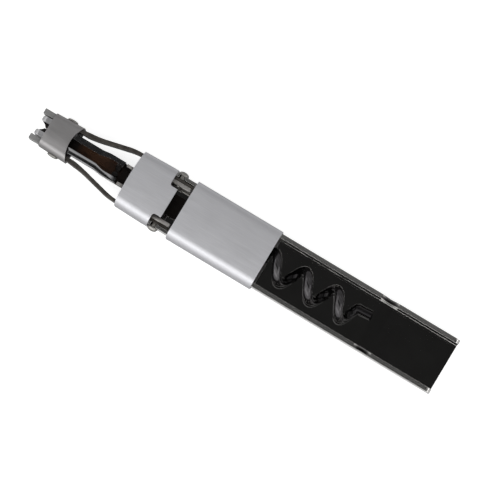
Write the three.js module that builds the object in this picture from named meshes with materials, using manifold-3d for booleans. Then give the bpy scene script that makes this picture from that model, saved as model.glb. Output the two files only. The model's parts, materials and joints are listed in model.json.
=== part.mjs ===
// A slim four-pronged watch tool: a spring-loaded lifter whose two clawed jaws are drawn back between
// two fixed feet by sliding the long sleeve along the handle.
//
// Millimetres, +Z up. X runs along the tool, from the foot tips (-X) to the open rear end (+X).
// The tool lies on the undersides of its two sleeves. The origin is the middle of its footprint.
// Left and right are the user's, looking from the rear end towards the tips: left is -Y, right is +Y.
// Every paired piece is built on the right and mirrored to the left.
import * as THREE from "three";
import { mergeVertices } from "three/addons/utils/BufferGeometryUtils.js";
import Module from "manifold-3d";

const wasm = await Module();
wasm.setup();

// ---------- driving dimensions ----------
const LENGTH = 90; // foot tips to rear end
const HEIGHT = 7.8; // over the sleeves
const TIP_X = -LENGTH / 2;
const REAR_X = LENGTH / 2;
const MID_Z = HEIGHT / 2;
const TRAVEL = 4.5; // how far the long sleeve slides back
const FIT = 0.05; // gap between a piece and the one that holds it

const SLEEVE_SHEET = 0.32;
const SLEEVE_RADIUS = 2.0; // outer corner radius of both sleeves
const SLEEVE_HALF = 6.18;
const SLEEVE_FRONT_X = -12.8;
const SLEEVE_REAR_X = 5.8;

const FERRULE_SHEET = 0.3;
const FERRULE_HALF = 6.03;
const FERRULE_MOUTH_HALF = 5.85;
const FERRULE_FRONT_X = -24.65;
const FERRULE_TAPER_X = -18.6; // the ferrule narrows from here to its mouth
const FERRULE_REAR_X = -15.4;
const FERRULE_BOW = 0.3; // how far the mouth's sides stand back from its middle
const NOTCH_FRONT_X = -17.1;
const NOTCH_INNER_Y = { right: 2.65, left: 3.5 };
const NOTCH_FLOOR_Z = 2.4;
const NOTCH_RADIUS = 0.5;

const CHANNEL_SHEET = 0.65;
const CHANNEL_HALF = 5.62; // inside the ferrule
const CHANNEL_WIDEN = 0.18; // the flanges are thicker by this behind the ferrule
const CHANNEL_WIDEN_X = { front: -12.5, rear: -9.0 };
const CHANNEL_RADIUS = 1.7; // outer radius between floor and flange
const CHANNEL_INNER_RADIUS = 0.3;
const CHANNEL_FRONT_X = -19.0;
const CHANNEL_BOTTOM_Z = 0.4;
const CHANNEL_TOP_Z = 6.2;
const FLOOR_Z = CHANNEL_BOTTOM_Z + CHANNEL_SHEET; // upper face of the floor
const FLANGE_INNER_Y = 4.95;
const REAR_CORNER_RADIUS = 0.9; // rounds the flanges' rear top corners, seen from the side
const RIB_X = 29.9; // middle of the rib pressed across the channel
const RIB_REACH = 1.9;
const RIB_RISE = 0.3;
const RIB_FADE = 1.6; // the rib dies away this far above the floor
const RIB_PINCH = 0.3; // how far the rib draws each flange inwards
const RIB_DIP = 0.3; // how far it draws the flange tops down

const ARM_SHEET = 0.55; // at both ends
const ARM_HALF_Z = 1.3;
const ARM_TIP_X = -44.4;
const TAIL_REAR_X = SLEEVE_FRONT_X - FIT;
const TAIL_Y = 4.6; // middle of the arm's riveted tail
const TOE_Y = 2.74; // middle of the arm inside its foot pad
const BACKING_SHEET = 0.8;
const BACKING_OUTER_Y = TAIL_Y - ARM_SHEET / 2 - 0.03;
const BACKING_FRONT_X = -18.4;
const BACKING_HALF_Z = 1.5;

const BODY_RIVET = { x: -16.0, z: 4.2, radius: 0.5, head: 1.05, dome: 0.8, tail: 0.8 };
const COLLAR_RIVET = { x: -39.4, z: MID_Z, radius: 0.45, head: 1.1, dome: 0.45, tail: 0.6 };
const RIVET_GAP = 0.06;

const COLLAR_SHEET = 0.3;
const COLLAR_FRONT_X = -42.65;
const COLLAR_REAR_X = -36.6;
const COLLAR_FRONT_HALF = 3.55;
const COLLAR_REAR_HALF = 3.76;
const COLLAR_HALF_Z = 2.6;
const COLLAR_RADIUS = 1.5;
const COLLAR_SCOOP = 1.05; // the rear edge of the upper face is cut back by this
const COLLAR_CROWN = 0.18; // the upper and lower faces bulge by this

const FOOT_REAR_X = COLLAR_FRONT_X - FIT;
const FOOT_HALF_Y = 0.54;
const FOOT_HALF_Z = 1.6;

const JAW_BOTTOM_Z = 2.38;
const JAW_TOP_Z = 5.4;
const JAW_TIP_X = -44.7;
const JAW_REAR_X = -26.6;
const JAW_FRONT = { outer: 2.0, inner: 0.9 }; // y of the jaw's faces ahead of its step
const JAW_REAR = { outer: 2.22, inner: 1.35 }; // and behind it
const JAW_STEP = { front: -31.8, rear: -29.5 };
const JAW_TIP_RADIUS = 0.42;
const PIVOT_X = -27.5;
const PIVOT_Y = 0.66;
const PIVOT_RADIUS = 0.3;
const PIVOT_HEAD = 0.5;
const PIVOT_GAP = 0.04;
const LUG_RADIUS = 0.6; // the jaw's pivot lug
const LUG_HEIGHT = 0.5;

const CLAW_Y = 0.1; // the claws' flats stand this far from the middle
const CLAW_TIP_X = -44.05;
const CLAW_FLAT_X = -43.3; // the claws' slanting noses end here
const CLAW_REAR_X = -38.8;
const CLAW_TOP_Z = 4.9;

const CARRIER_BOTTOM_Z = 1.78;
const CARRIER_SHEET = 0.5;
const CARRIER_TOP_Z = 4.6; // top of its flanges
const CARRIER_HALF = 2.2;
const CARRIER_FLANGE = 0.55; // thickness of its flanges
const CARRIER_FLANGE_FRONT_X = -26.25;
const CARRIER_FLANGE_REAR_X = -17.5;
const TONGUE_FRONT_X = -38.4;
const TONGUE_HALF = 1.75;

const BLOCK_REAR_X = -4.0;
const BLOCK_HALF = FLANGE_INNER_Y - 0.1;
const BLOCK_RADIUS = 0.95;
const SEAT_REAR_X = -8.5; // the carrier's seat in the block ends here
const BOSS_RADIUS = 1.15;
const BOSS_LENGTH = 3.0;
const DRIVE_PIN = { front: -7.6, rear: -5.2, radius: 0.75, top: 3.6 };
const CARRIER_PIN = { x: -10.75, radius: 0.6, top: 4.0 };

const GUIDE_FRONT_X = -21.9;
const GUIDE_REAR_X = CHANNEL_FRONT_X - 0.2;
const GUIDE_HALF = 3.9;

const WIRE = 1.85; // spring wire diameter
const COIL_RADIUS = 2.2; // to the middle of the wire
const COIL_Z = FLOOR_Z + FIT + COIL_RADIUS + WIRE / 2;
const COIL_PITCH = 6.85;
const COIL_CLOSED_PITCH = 1.95;
const COIL_START_X = BLOCK_REAR_X + WIRE / 2 + FIT;
const COIL_CREST_X = 8.08; // a coil crosses the top of the spring here
const COIL_OPEN_FRONT = -1.4; // turns from that crest to the front closed coil
const COIL_OPEN_REAR = 2.0; // turns from that crest to the narrowing last coil
const COIL_LAST_PITCH = 5.8;
const COIL_REAR_TURN = 2.6; // the coils end this many turns behind the crest
const COIL_LEG_END_X = 27.95; // and a straight leg on the channel's floor ends here
const COIL_STEPS = 20; // divisions in each turn

// ---------- materials ----------
function material(color, roughness, metalness = 1) {
  return new THREE.MeshStandardMaterial({ color, roughness, metalness });
}
const SATIN = material(0xa9a9ac, 0.38);
const POLISHED = material(0xb9b9b6, 0.12);
const JAW_STEEL = material(0xb4b6ba, 0.2);
const DARK_SPRING = material(0x4b4641, 0.42);
const BRONZED = material(0x4a3426, 0.3);
const BLACK_STEEL = material(0x34322f, 0.3);
const RIVET_STEEL = material(0x77736e, 0.35);
const PAD = material(0x8c8c8a, 0.55, 0);
const BLACK_PLASTIC = material(0x26262a, 0.6, 0);

// ---------- helpers ----------
// A solid for joining and cutting, from a closed geometry.
function toSolid(geometry) {
  const bare = geometry.index ? geometry.toNonIndexed() : geometry.clone();
  bare.deleteAttribute("normal");
  bare.deleteAttribute("uv");
  const merged = mergeVertices(bare, 1e-4);
  return new wasm.Manifold(
    new wasm.Mesh({
      numProp: 3,
      vertProperties: merged.attributes.position.array,
      triVerts: new Uint32Array(merged.index.array),
    }),
  );
}

function toGeometry(solid) {
  const mesh = solid.getMesh();
  const geometry = new THREE.BufferGeometry();
  geometry.setAttribute("position", new THREE.BufferAttribute(new Float32Array(mesh.vertProperties), 3));
  geometry.setIndex(new THREE.BufferAttribute(new Uint32Array(mesh.triVerts), 1));
  const flat = geometry.toNonIndexed();
  flat.computeVertexNormals();
  return flat;
}

function join(...geometries) {
  return toGeometry(geometries.map(toSolid).reduce((a, b) => a.add(b)));
}

function cut(geometry, ...tools) {
  return toGeometry(tools.map(toSolid).reduce((a, b) => a.subtract(b), toSolid(geometry)));
}

// The same piece on the other side of the XZ plane.
function mirror(geometry) {
  const flat = geometry.index ? geometry.toNonIndexed() : geometry.clone();
  const position = flat.attributes.position;
  for (let i = 0; i < position.count; i += 3) {
    const first = [position.getX(i), -position.getY(i), position.getZ(i)];
    position.setXYZ(i, position.getX(i + 2), -position.getY(i + 2), position.getZ(i + 2));
    position.setXYZ(i + 1, position.getX(i + 1), -position.getY(i + 1), position.getZ(i + 1));
    position.setXYZ(i + 2, ...first);
  }
  flat.computeVertexNormals();
  return flat;
}

// A shape drawn in X and Y, with its thickness from z0 to z1.
function extrudeZ(shape, z0, z1, curveSegments = 8) {
  const geometry = new THREE.ExtrudeGeometry(shape, { depth: z1 - z0, bevelEnabled: false, curveSegments });
  return geometry.translate(0, 0, z0);
}

// A shape drawn in Y and Z, with its length from x0 to x1 in even steps.
function extrudeX(shape, x0, x1, steps = 1, curveSegments = 6) {
  const options = { depth: x1 - x0, steps, bevelEnabled: false, curveSegments };
  const turn = new THREE.Matrix4().makeBasis(
    new THREE.Vector3(0, 1, 0),
    new THREE.Vector3(0, 0, 1),
    new THREE.Vector3(1, 0, 0),
  );
  return new THREE.ExtrudeGeometry(shape, options).applyMatrix4(turn).translate(x0, 0, 0);
}

// A shape drawn in X and Z, with its thickness from y0 to y1.
function extrudeY(shape, y0, y1, curveSegments = 8) {
  const geometry = new THREE.ExtrudeGeometry(shape, { depth: y1 - y0, bevelEnabled: false, curveSegments });
  return geometry.rotateX(Math.PI / 2).translate(0, y1, 0);
}

function boxBetween(x0, x1, y0, y1, z0, z1) {
  const box = new THREE.BoxGeometry(x1 - x0, y1 - y0, z1 - z0);
  return box.translate((x0 + x1) / 2, (y0 + y1) / 2, (z0 + z1) / 2);
}

// Cylinders along Z and along Y.
function rodZ(x, y, radius, z0, z1, segments = 20) {
  const rod = new THREE.CylinderGeometry(radius, radius, z1 - z0, segments).rotateX(Math.PI / 2);
  return rod.translate(x, y, (z0 + z1) / 2);
}

function rodY(x, z, radius, y0, y1, segments = 20) {
  return new THREE.CylinderGeometry(radius, radius, y1 - y0, segments).translate(x, (y0 + y1) / 2, z);
}

// A piece of revolution about Y from [radius, height] pairs that start and end on the axis.
function lathe(profile, segments = 20) {
  const points = profile.map(([radius, height]) => new THREE.Vector2(radius, height));
  return new THREE.LatheGeometry(points, segments);
}

// Moves each vertex by a function that changes a Vector3 in place.
function reshape(geometry, move) {
  const position = geometry.attributes.position;
  const point = new THREE.Vector3();
  for (let i = 0; i < position.count; i++) {
    move(point.fromBufferAttribute(position, i));
    position.setXYZ(i, point.x, point.y, point.z);
  }
  return geometry;
}

// Adds a rectangle with round corners to a shape or a hole. Its upper and lower sides bulge by `crown`.
function roundedRect(path, x0, x1, y0, y1, r, crown = 0) {
  const middle = (x0 + x1) / 2;
  path.moveTo(x0 + r, y0);
  if (crown > 0) path.quadraticCurveTo(middle, y0 - 2 * crown, x1 - r, y0);
  path.absarc(x1 - r, y0 + r, r, -Math.PI / 2, 0, false);
  path.absarc(x1 - r, y1 - r, r, 0, Math.PI / 2, false);
  if (crown > 0) path.quadraticCurveTo(middle, y1 + 2 * crown, x0 + r, y1);
  path.absarc(x0 + r, y1 - r, r, Math.PI / 2, Math.PI, false);
  path.absarc(x0 + r, y0 + r, r, Math.PI, 1.5 * Math.PI, false);
  return path;
}

// The section of a sheet-metal tube with round corners, drawn in Y and Z.
function tubeSection(half, z0, z1, radius, sheet, crown = 0) {
  const section = roundedRect(new THREE.Shape(), -half, half, z0, z1, radius, crown);
  const inner = half - sheet;
  section.holes.push(
    roundedRect(new THREE.Path(), -inner, inner, z0 + sheet, z1 - sheet, radius - sheet, crown),
  );
  return section;
}

// The outline of a strip that follows a curve in the XY plane. The Y of a second curve is its thickness.
function stripShape(curve, thickness, divisions) {
  const near = [];
  const far = [];
  for (let i = 0; i <= divisions; i++) {
    const at = curve.getPoint(i / divisions);
    const along = curve.getTangent(i / divisions);
    const half = thickness.getPoint(i / divisions).y / 2;
    near.push(new THREE.Vector2(at.x + along.y * half, at.y - along.x * half));
    far.unshift(new THREE.Vector2(at.x - along.y * half, at.y + along.x * half));
  }
  return new THREE.Shape([...near, ...far]);
}

const clamp01 = (t) => Math.min(1, Math.max(0, t));
const smooth = (t) => t * t * (3 - 2 * t);

// A solid rivet on the right-hand side: its domed head stands out from y = seat, its tail ends at y = inner.
function rivet({ x, z, radius, head, dome, tail }, seat, inner) {
  const brim = 0.16; // the straight edge under the dome
  const tailHead = 0.18;
  const profile = [
    [0, inner],
    [tail, inner],
    [tail, inner + tailHead],
    [radius, inner + tailHead],
    [radius, seat],
    [head, seat],
  ];
  const steps = 5;
  for (let i = 0; i < steps; i++) {
    const angle = (Math.PI / 2) * (i / steps);
    profile.push([head * Math.cos(angle), seat + brim + (dome - brim) * Math.sin(angle)]);
  }
  profile.push([0, seat + dome]);
  return lathe(profile).translate(x, 0, z);
}

// ---------- fixed frame ----------
// The handle: a U of polished sheet, with a rib pressed across it behind the spring.
function channelBody() {
  const half = CHANNEL_HALF;
  const inner = FLANGE_INNER_Y;
  const outerCentre = CHANNEL_BOTTOM_Z + CHANNEL_RADIUS;
  const innerRadius = CHANNEL_INNER_RADIUS;
  const innerCentre = FLOOR_Z + innerRadius;
  const section = new THREE.Shape();
  section.moveTo(-half, CHANNEL_TOP_Z);
  section.lineTo(-half, outerCentre);
  section.absarc(CHANNEL_RADIUS - half, outerCentre, CHANNEL_RADIUS, Math.PI, 1.5 * Math.PI);
  section.absarc(half - CHANNEL_RADIUS, outerCentre, CHANNEL_RADIUS, -Math.PI / 2, 0);
  section.lineTo(half, CHANNEL_TOP_Z);
  section.lineTo(inner, CHANNEL_TOP_Z);
  section.absarc(inner - innerRadius, innerCentre, innerRadius, 0, -Math.PI / 2, true);
  section.absarc(innerRadius - inner, innerCentre, innerRadius, -Math.PI / 2, -Math.PI, true);
  section.lineTo(-inner, CHANNEL_TOP_Z);

  const { front: widenFront, rear: widenRear } = CHANNEL_WIDEN_X;
  const widenSteps = 4;
  const ribSteps = 10;
  const stations = [CHANNEL_FRONT_X];
  for (let i = 0; i <= widenSteps; i++) {
    stations.push(widenFront + ((widenRear - widenFront) * i) / widenSteps);
  }
  for (let i = 0; i <= ribSteps; i++) {
    stations.push(RIB_X - RIB_REACH + (2 * RIB_REACH * i) / ribSteps);
  }
  stations.push(REAR_X);
  const steps = stations.length - 1;
  const body = reshape(extrudeX(section, 0, steps, steps), (p) => {
    p.x = stations[Math.round(p.x)];
    if (p.z < FLOOR_Z - 0.01 || Math.abs(p.y) > inner + 0.01) {
      const share = smooth(clamp01(Math.abs(p.y) - 4.2));
      const along = smooth(clamp01((p.x - widenFront) / (widenRear - widenFront)));
      p.y += Math.sign(p.y) * CHANNEL_WIDEN * share * along;
    }
    const rib = 0.5 + 0.5 * Math.cos(Math.PI * Math.min(1, Math.abs(p.x - RIB_X) / RIB_REACH));
    const low = clamp01(1 - (p.z - FLOOR_Z) / RIB_FADE);
    const high = smooth(clamp01((p.z - FLOOR_Z) / (CHANNEL_TOP_Z - FLOOR_Z)));
    p.y -= Math.sign(p.y) * RIB_PINCH * rib * high;
    p.z += RIB_RISE * rib * low - RIB_DIP * rib * high;
  });

  const beyond = half + 1;
  const r = REAR_CORNER_RADIUS;
  const corner = new THREE.Shape();
  corner.moveTo(REAR_X - r, CHANNEL_TOP_Z);
  corner.absarc(REAR_X - r, CHANNEL_TOP_Z - r, r, Math.PI / 2, 0, true);
  corner.lineTo(REAR_X + 1, CHANNEL_TOP_Z - r);
  corner.lineTo(REAR_X + 1, CHANNEL_TOP_Z + 1);
  corner.lineTo(REAR_X - r, CHANNEL_TOP_Z + 1);

  // The drive pins run in a slot along the floor. Each body rivet stands in a notch open at the top.
  const slotHalf = DRIVE_PIN.radius + 0.1;
  const slotEnd = DRIVE_PIN.rear + TRAVEL;
  const rivetHalf = BODY_RIVET.radius + RIVET_GAP;
  const { x, z } = BODY_RIVET;
  return cut(
    body,
    extrudeY(corner, -beyond, beyond),
    boxBetween(DRIVE_PIN.front, slotEnd, -slotHalf, slotHalf, 0, FLOOR_Z + 1),
    rodZ(DRIVE_PIN.front, 0, slotHalf, 0, FLOOR_Z + 1),
    rodZ(slotEnd, 0, slotHalf, 0, FLOOR_Z + 1),
    rodY(x, z, rivetHalf, -beyond, beyond),
    boxBetween(x - rivetHalf, x + rivetHalf, -beyond, beyond, z, CHANNEL_TOP_Z + 1),
  );
}

// The short fixed sleeve: slightly tapered, with a bowed mouth and a notch at each rear corner.
function frontFerrule() {
  const section = tubeSection(FERRULE_HALF, 0, HEIGHT, SLEEVE_RADIUS, FERRULE_SHEET);
  const spare = 0.2; // the mouth is cut out of this much extra length
  const stations = [FERRULE_FRONT_X - spare, FERRULE_TAPER_X, FERRULE_REAR_X];
  const body = reshape(extrudeX(section, 0, 2, 2, 8), (p) => {
    const station = Math.round(p.x);
    p.x = stations[station];
    if (station === 0) p.y -= Math.sign(p.y) * (FERRULE_HALF - FERRULE_MOUTH_HALF);
  });
  const wide = FERRULE_HALF + 1;
  const sideX = FERRULE_FRONT_X + FERRULE_BOW * (wide / FERRULE_HALF) ** 2;
  const mouth = new THREE.Shape();
  mouth.moveTo(sideX, -wide);
  mouth.quadraticCurveTo(2 * FERRULE_FRONT_X - sideX, 0, sideX, wide);
  mouth.lineTo(FERRULE_FRONT_X - 1, wide);
  mouth.lineTo(FERRULE_FRONT_X - 1, -wide);
  const notch = (innerY) => {
    const shape = new THREE.Shape();
    shape.moveTo(FERRULE_REAR_X + 1, innerY);
    shape.lineTo(FERRULE_REAR_X + 1, wide);
    shape.lineTo(NOTCH_FRONT_X, wide);
    shape.absarc(NOTCH_FRONT_X + NOTCH_RADIUS, innerY + NOTCH_RADIUS, NOTCH_RADIUS, Math.PI, 1.5 * Math.PI);
    return extrudeZ(shape, NOTCH_FLOOR_Z, HEIGHT + 1, 5);
  };
  const { right, left } = NOTCH_INNER_Y;
  return cut(body, extrudeZ(mouth, -1, HEIGHT + 1, 10), notch(right), mirror(notch(left)));
}

// A spring-steel arm on the right. Its toe carries the foot pad, its tail is riveted inside the channel.
function armStrip() {
  const rows = [
    [ARM_TIP_X, TOE_Y, ARM_SHEET],
    [COLLAR_FRONT_X - 0.3, TOE_Y, ARM_SHEET],
    [-39.4, 2.88, ARM_SHEET],
    [-37.5, 2.98, 0.62],
    [-36.2, 3.02, 0.85],
    [-35.2, 3.08, 0.96],
    [-34.0, 3.23, 0.9],
    [-32.4, 3.52, 0.82],
    [-30.5, 3.98, 0.8],
    [-28.5, 4.46, 0.8],
    [-26.8, 4.86, 0.78],
    [-25.2, 5.06, 0.68],
    [-23.6, 5.03, 0.6],
    [-22.0, 4.86, ARM_SHEET],
    [-20.4, 4.66, ARM_SHEET],
    [-19.0, TAIL_Y, ARM_SHEET],
    [-16.5, TAIL_Y, ARM_SHEET],
    [TAIL_REAR_X, TAIL_Y, ARM_SHEET],
  ];
  const middle = new THREE.SplineCurve(rows.map(([x, y]) => new THREE.Vector2(x, y)));
  const thickness = new THREE.SplineCurve(rows.map(([x, , sheet]) => new THREE.Vector2(x, sheet)));
  const strip = extrudeZ(stripShape(middle, thickness, 68), MID_Z - ARM_HALF_Z, MID_Z + ARM_HALF_Z);
  const holes = [BODY_RIVET, COLLAR_RIVET].map(({ x, z, radius }) => rodY(x, z, radius + RIVET_GAP, 0, 8));
  return cut(strip, ...holes);
}

function backingPlate() {
  const inner = BACKING_OUTER_Y - BACKING_SHEET;
  const z0 = MID_Z - BACKING_HALF_Z;
  const z1 = MID_Z + BACKING_HALF_Z;
  const plate = boxBetween(BACKING_FRONT_X, TAIL_REAR_X, inner, BACKING_OUTER_Y, z0, z1);
  return cut(plate, rodY(BODY_RIVET.x, BODY_RIVET.z, BODY_RIVET.radius + RIVET_GAP, 0, 8));
}

// The flat band that holds both arms behind the feet. It widens rearwards.
function tipCollar() {
  const z0 = MID_Z - COLLAR_HALF_Z;
  const z1 = MID_Z + COLLAR_HALF_Z;
  const section = tubeSection(COLLAR_REAR_HALF, z0, z1, COLLAR_RADIUS, COLLAR_SHEET, COLLAR_CROWN);
  const body = reshape(extrudeX(section, COLLAR_FRONT_X, COLLAR_REAR_X), (p) => {
    if (p.x > COLLAR_FRONT_X + 1) return;
    const sideways = clamp01((Math.abs(p.y) - 1) / 1.5);
    p.y -= Math.sign(p.y) * (COLLAR_REAR_HALF - COLLAR_FRONT_HALF) * sideways;
  });
  const scoop = new THREE.Shape();
  scoop.moveTo(COLLAR_REAR_X, -COLLAR_REAR_HALF);
  scoop.quadraticCurveTo(COLLAR_REAR_X - 2 * COLLAR_SCOOP, 0, COLLAR_REAR_X, COLLAR_REAR_HALF);
  scoop.lineTo(COLLAR_REAR_X + 1, COLLAR_REAR_HALF);
  scoop.lineTo(COLLAR_REAR_X + 1, -COLLAR_REAR_HALF);
  const { x, z, radius } = COLLAR_RIVET;
  return cut(body, extrudeZ(scoop, MID_Z + 1, HEIGHT), rodY(x, z, radius + RIVET_GAP, -6, 6));
}

// A square-ended pad pushed over the arm's toe.
function footPad() {
  const pocket = ARM_SHEET / 2 + FIT;
  const pocketZ = ARM_HALF_Z + FIT;
  const around = (x0, x1, y, z) => boxBetween(x0, x1, TOE_Y - y, TOE_Y + y, MID_Z - z, MID_Z + z);
  return cut(
    around(TIP_X, FOOT_REAR_X, FOOT_HALF_Y, FOOT_HALF_Z),
    around(ARM_TIP_X - FIT, FOOT_REAR_X + 1, pocket, pocketZ),
  );
}

// A plastic bridge inside the ferrule that the drawbar slides through.
function drawbarGuide() {
  const bridge = boxBetween(
    GUIDE_FRONT_X,
    GUIDE_REAR_X,
    -GUIDE_HALF,
    GUIDE_HALF,
    FERRULE_SHEET + FIT,
    HEIGHT - FERRULE_SHEET - FIT,
  );
  const gap = 0.1;
  const passage = boxBetween(
    GUIDE_FRONT_X - 1,
    GUIDE_REAR_X + 1,
    -CARRIER_HALF - gap,
    CARRIER_HALF + gap,
    CARRIER_BOTTOM_Z - gap,
    CARRIER_TOP_Z + gap,
  );
  return cut(bridge, passage);
}

// The compression spring: right-handed, closed at both ends, wider apart between them.
function returnSpring() {
  const openFrontX = COIL_CREST_X + COIL_OPEN_FRONT * COIL_PITCH;
  const openRearX = COIL_CREST_X + COIL_OPEN_REAR * COIL_PITCH;
  const startTurn = COIL_OPEN_FRONT - (openFrontX - COIL_START_X) / COIL_CLOSED_PITCH;
  const xAt = (turn) => {
    if (turn < COIL_OPEN_FRONT) return openFrontX + (turn - COIL_OPEN_FRONT) * COIL_CLOSED_PITCH;
    if (turn < COIL_OPEN_REAR) return COIL_CREST_X + turn * COIL_PITCH;
    return openRearX + (turn - COIL_OPEN_REAR) * COIL_LAST_PITCH;
  };
  const count = Math.round((COIL_REAR_TURN - startTurn) * COIL_STEPS);
  const points = [];
  for (let i = 0; i <= count; i++) {
    const turn = startTurn + ((COIL_REAR_TURN - startTurn) * i) / count;
    const angle = turn * 2 * Math.PI;
    points.push(
      new THREE.Vector3(xAt(turn), -COIL_RADIUS * Math.sin(angle), COIL_Z + COIL_RADIUS * Math.cos(angle)),
    );
  }
  // The leg sinks to the level of the coils' lowest points.
  const foot = points[count];
  for (const [along, sink] of [[0.35, 0.45], [0.7, 0.9], [1, 1]]) {
    const x = foot.x + (COIL_LEG_END_X - foot.x) * along;
    points.push(new THREE.Vector3(x, foot.y + 0.25 * along, foot.z + (COIL_Z - COIL_RADIUS - foot.z) * sink));
  }
  const wire = new THREE.Shape();
  wire.absarc(0, 0, WIRE / 2, 0, 2 * Math.PI);
  return new THREE.ExtrudeGeometry(wire, {
    steps: count + 4,
    curveSegments: 5,
    bevelEnabled: false,
    extrudePath: new THREE.CatmullRomCurve3(points),
  });
}

// ---------- slider ----------
function slideSleeve() {
  const section = tubeSection(SLEEVE_HALF, 0, HEIGHT, SLEEVE_RADIUS, SLEEVE_SHEET);
  const holes = [DRIVE_PIN.front, DRIVE_PIN.rear].map((x) => rodZ(x, 0, DRIVE_PIN.radius + FIT, -1, 1));
  return cut(extrudeX(section, SLEEVE_FRONT_X, SLEEVE_REAR_X, 1, 8), ...holes);
}

// The block that fills the channel under the sleeve. The spring fits over its rear boss.
function slideBlock() {
  const z0 = FLOOR_Z + FIT;
  const z1 = HEIGHT - SLEEVE_SHEET - 0.07;
  const section = roundedRect(new THREE.Shape(), -BLOCK_HALF, BLOCK_HALF, z0, z1, BLOCK_RADIUS);
  const block = extrudeX(section, SLEEVE_FRONT_X, BLOCK_REAR_X);
  const boss = new THREE.CylinderGeometry(BOSS_RADIUS, BOSS_RADIUS, BOSS_LENGTH + 1, 24)
    .rotateZ(Math.PI / 2)
    .translate(BLOCK_REAR_X + (BOSS_LENGTH - 1) / 2, 0, COIL_Z);
  const seatHalf = CARRIER_HALF + FIT;
  const seatTop = CARRIER_BOTTOM_Z + CARRIER_SHEET + FIT;
  return cut(
    join(block, boss),
    boxBetween(SLEEVE_FRONT_X - 1, SEAT_REAR_X, -seatHalf, seatHalf, CARRIER_BOTTOM_Z - FIT, seatTop),
    rodZ(CARRIER_PIN.x, 0, CARRIER_PIN.radius + FIT, 0, CARRIER_PIN.top + FIT),
    rodZ(DRIVE_PIN.front, 0, DRIVE_PIN.radius + FIT, 0, DRIVE_PIN.top + FIT),
    rodZ(DRIVE_PIN.rear, 0, DRIVE_PIN.radius + FIT, 0, DRIVE_PIN.top + FIT),
  );
}

// The drawbar: a tongue under the jaws, a stiffening U through the guide, a flat seat in the block.
function jawCarrier() {
  const top = CARRIER_BOTTOM_Z + CARRIER_SHEET;
  const seatX = SEAT_REAR_X - FIT;
  const tongue = boxBetween(TONGUE_FRONT_X, PIVOT_X, -TONGUE_HALF, TONGUE_HALF, CARRIER_BOTTOM_Z, top);
  const strip = boxBetween(PIVOT_X - 1, seatX, -CARRIER_HALF, CARRIER_HALF, CARRIER_BOTTOM_Z, top);
  const flange = boxBetween(
    CARRIER_FLANGE_FRONT_X,
    CARRIER_FLANGE_REAR_X,
    CARRIER_HALF - CARRIER_FLANGE,
    CARRIER_HALF,
    CARRIER_BOTTOM_Z,
    CARRIER_TOP_Z,
  );
  const pivotHole = rodZ(PIVOT_X, PIVOT_Y, PIVOT_RADIUS + PIVOT_GAP, 0, 4, 16);
  return cut(
    join(tongue, strip, flange, mirror(flange)),
    pivotHole,
    mirror(pivotHole),
    rodZ(CARRIER_PIN.x, 0, CARRIER_PIN.radius + FIT, 0, 4),
  );
}

function carrierPin() {
  return rodZ(CARRIER_PIN.x, 0, CARRIER_PIN.radius, FLOOR_Z + 0.1, CARRIER_PIN.top);
}

function drivePin(x) {
  return rodZ(x, 0, DRIVE_PIN.radius, 0.04, DRIVE_PIN.top);
}

// The headed pin that the right jaw swings on.
function pivotPin() {
  const lugTop = JAW_BOTTOM_Z + LUG_HEIGHT;
  const shank = rodZ(PIVOT_X, PIVOT_Y, PIVOT_RADIUS, CARRIER_BOTTOM_Z, lugTop + 0.2, 16);
  return join(shank, rodZ(PIVOT_X, PIVOT_Y, PIVOT_HEAD, lugTop + FIT, lugTop + 0.35, 16));
}

// ---------- jaws ----------
// The right jaw: a stepped strip with a rounded tip, and a lug low down that sits on its pivot pin.
function jawStrip() {
  const r = JAW_TIP_RADIUS;
  const shape = new THREE.Shape();
  shape.moveTo(JAW_REAR_X, JAW_REAR.inner);
  shape.lineTo(JAW_REAR_X, JAW_REAR.outer);
  shape.lineTo(JAW_STEP.rear, JAW_REAR.outer);
  shape.lineTo(JAW_STEP.front, JAW_FRONT.outer);
  shape.absarc(JAW_TIP_X + r, JAW_FRONT.outer - r, r, Math.PI / 2, Math.PI);
  shape.absarc(JAW_TIP_X + r, JAW_FRONT.inner + r, r, Math.PI, 1.5 * Math.PI);
  shape.lineTo(JAW_STEP.front, JAW_FRONT.inner);
  shape.lineTo(JAW_STEP.rear, JAW_REAR.inner);
  const lugTop = JAW_BOTTOM_Z + LUG_HEIGHT;
  const middle = (JAW_REAR.inner + JAW_REAR.outer) / 2;
  return cut(
    join(
      extrudeZ(shape, JAW_BOTTOM_Z, JAW_TOP_Z),
      rodZ(PIVOT_X, PIVOT_Y, LUG_RADIUS, JAW_BOTTOM_Z, lugTop, 24),
      boxBetween(PIVOT_X - LUG_RADIUS, PIVOT_X + LUG_RADIUS, PIVOT_Y, middle, JAW_BOTTOM_Z, lugTop),
    ),
    rodZ(PIVOT_X, PIVOT_Y, PIVOT_RADIUS + PIVOT_GAP, 0, HEIGHT, 16),
  );
}

// The hardened claw on the inside of the right jaw.
function clawWedge() {
  const outer = JAW_FRONT.inner - 0.03;
  const shape = new THREE.Shape();
  shape.moveTo(CLAW_TIP_X, outer);
  shape.lineTo(CLAW_TIP_X, outer - 0.12);
  shape.lineTo(CLAW_FLAT_X, CLAW_Y);
  shape.lineTo(CLAW_REAR_X, CLAW_Y);
  shape.lineTo(CLAW_REAR_X, outer);
  return extrudeZ(shape, JAW_BOTTOM_Z, CLAW_TOP_Z);
}

// ---------- assembly ----------
const part = new THREE.Group();

function add(name, geometry, look) {
  const mesh = new THREE.Mesh(geometry, look);
  mesh.name = name;
  part.add(mesh);
}

function addPair(name, geometry, look) {
  add(`right_${name}`, geometry, look);
  add(`left_${name}`, mirror(geometry), look);
}

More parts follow.
